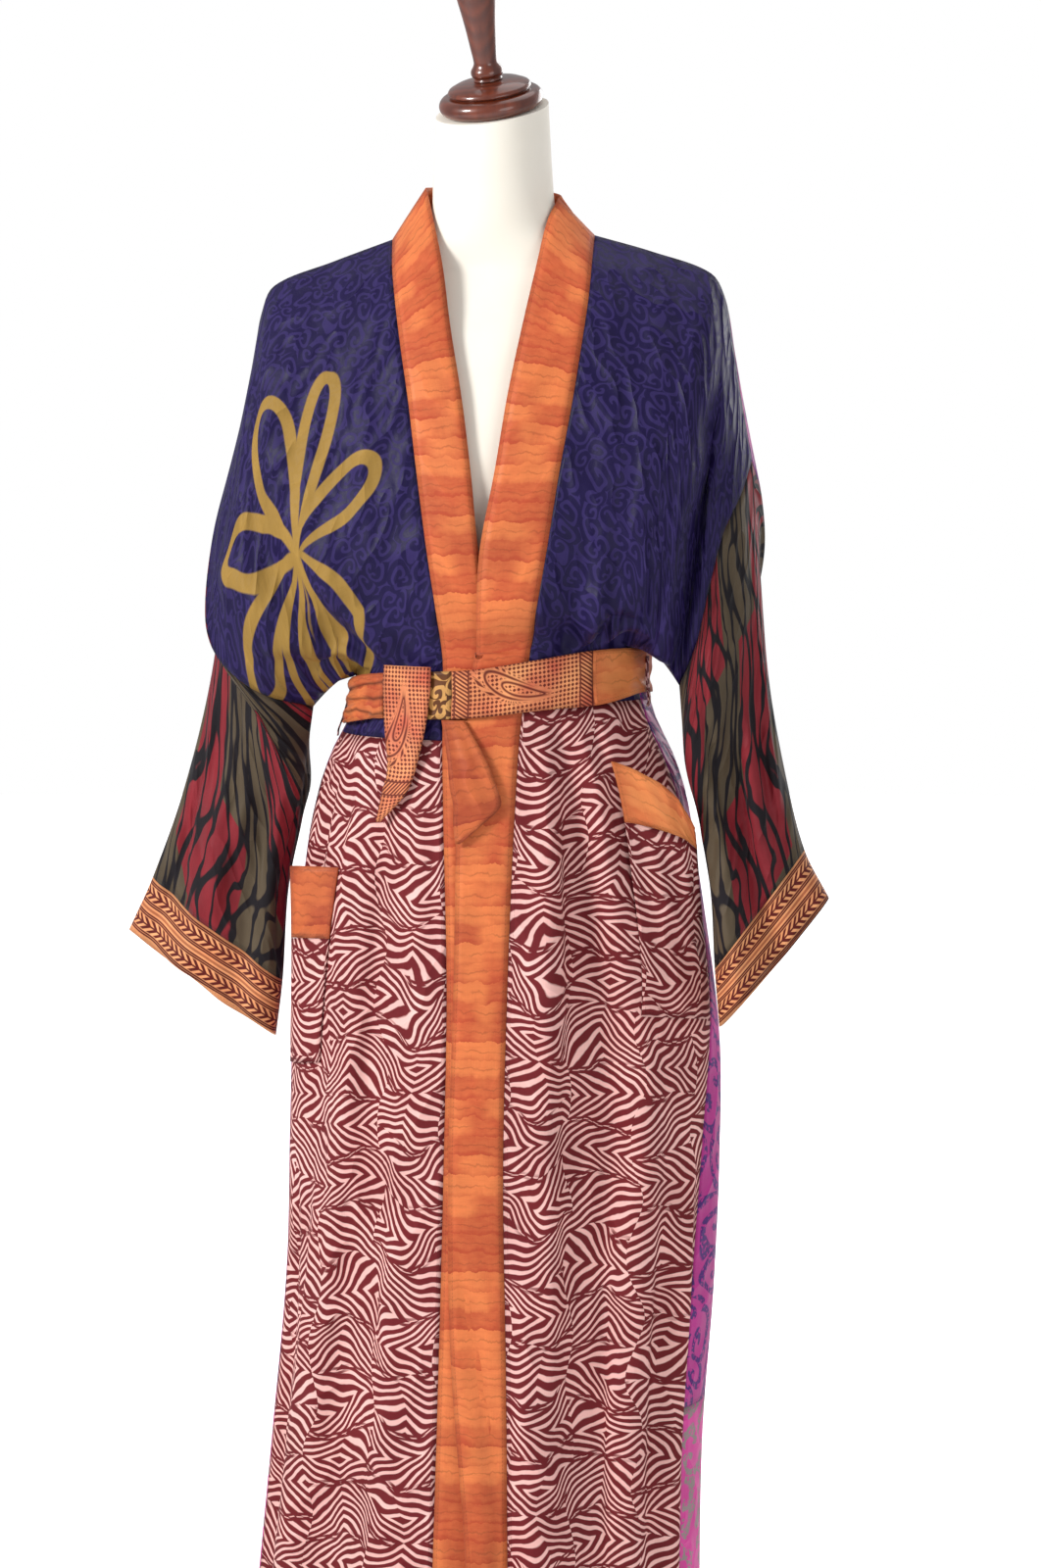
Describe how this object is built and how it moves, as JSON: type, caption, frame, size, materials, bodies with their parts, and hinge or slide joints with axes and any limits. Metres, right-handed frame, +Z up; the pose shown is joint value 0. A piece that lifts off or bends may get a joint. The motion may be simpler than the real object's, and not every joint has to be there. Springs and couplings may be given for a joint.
{
  "type": "kimono duster on a limbless dress form",
  "caption": "Long patchwork silk kimono duster, open bands crossed and belted at the waist, wide sleeves and patch pockets, on a limbless dress form with a pole stand.",
  "frame": {"origin": "on the floor under the middle of the stand's round foot", "axes": "+Z up the pole; the garment's front faces -Y; +X is the wearer's left"},
  "size_m": [0.6398, 0.37, 1.6191],
  "materials": {
    "bodice_silk": "satin jacquard, navy and purple",
    "back_silk": "satin, magenta with a purple scroll print",
    "hem_silk": "satin, hot pink with a grey speckle",
    "print_silk": "silk printed maroon on pale pink",
    "sleeve_silk": "silk in red and taupe blocks with dark streaks",
    "cuff_silk": "silk border print in gold orange and maroon",
    "band_silk": "satin, orange with rust cloudy bars",
    "trim_silk": "satin, orange",
    "belt_silk": "silk printed in salmon, brown and maroon",
    "form_cover": "off-white cotton cover, drawn smooth",
    "turned_wood": "turned hardwood, red brown gloss lacquer"
  },
  "bodies": {
    "root": {"bodice_front_right": "bodice_silk", "bodice_front_left": "bodice_silk", "bodice_back": "back_silk", "skirt_front_right": "print_silk", "skirt_front_left": "print_silk", "skirt_back_upper": "back_silk", "skirt_back_lower": "hem_silk", "sleeve_right": "sleeve_silk", "sleeve_left": "sleeve_silk", "cuff_right": "cuff_silk", "cuff_left": "cuff_silk", "band_right": "band_silk", "band_left": "band_silk", "band_neck": "band_silk", "pocket_right": "print_silk", "pocket_left": "print_silk", "pocket_facing_right": "trim_silk", "pocket_facing_left": "trim_silk", "belt_pleats": "trim_silk", "belt_ornament": "belt_silk", "belt_print": "belt_silk", "belt_back": "trim_silk", "belt_tail_print": "belt_silk", "belt_tail_plain": "trim_silk", "belt_loop_right": "print_silk", "belt_loop_left": "print_silk", "form_torso": "form_cover", "form_cap": "turned_wood", "form_finial": "turned_wood", "stand_pole": "turned_wood", "stand_base": "turned_wood"}
  },
  "joints": []
}
